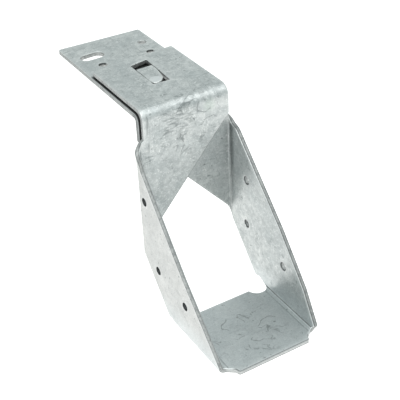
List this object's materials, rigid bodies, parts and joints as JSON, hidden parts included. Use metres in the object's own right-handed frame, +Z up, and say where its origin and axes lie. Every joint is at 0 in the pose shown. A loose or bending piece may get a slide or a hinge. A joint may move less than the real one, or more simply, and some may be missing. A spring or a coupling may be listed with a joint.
{
  "type": "masonry joist hanger",
  "caption": "Heavy joist hanger for a masonry wall top, folded from one galvanised strip: joist seat, sloping legs, crossed back plates and overlapping top flanges locked by a lanced tongue",
  "frame": {"origin": "underside of the lower top flange where it bears on the wall top, at mid-width on the line of the two rear fixing holes", "axes": "+X to the right seen from the joist side, +Y into the wall, +Z up"},
  "size_m": [0.0654, 0.1927, 0.1242],
  "materials": {
    "galvanised": "hot-dip zinc, faint mottling, light scuffs, bright burrs on the cut edges"
  },
  "bodies": {
    "root": {"seat_plate": "galvanised", "left_seat_bend": "galvanised", "right_seat_bend": "galvanised", "left_leg": "galvanised", "right_leg": "galvanised", "left_back_bend": "galvanised", "right_back_bend": "galvanised", "front_back_plate": "galvanised", "rear_back_plate": "galvanised", "upper_top_bend": "galvanised", "lower_top_bend": "galvanised", "upper_flange": "galvanised", "lower_flange": "galvanised", "locking_tongue": "galvanised"}
  },
  "joints": []
}
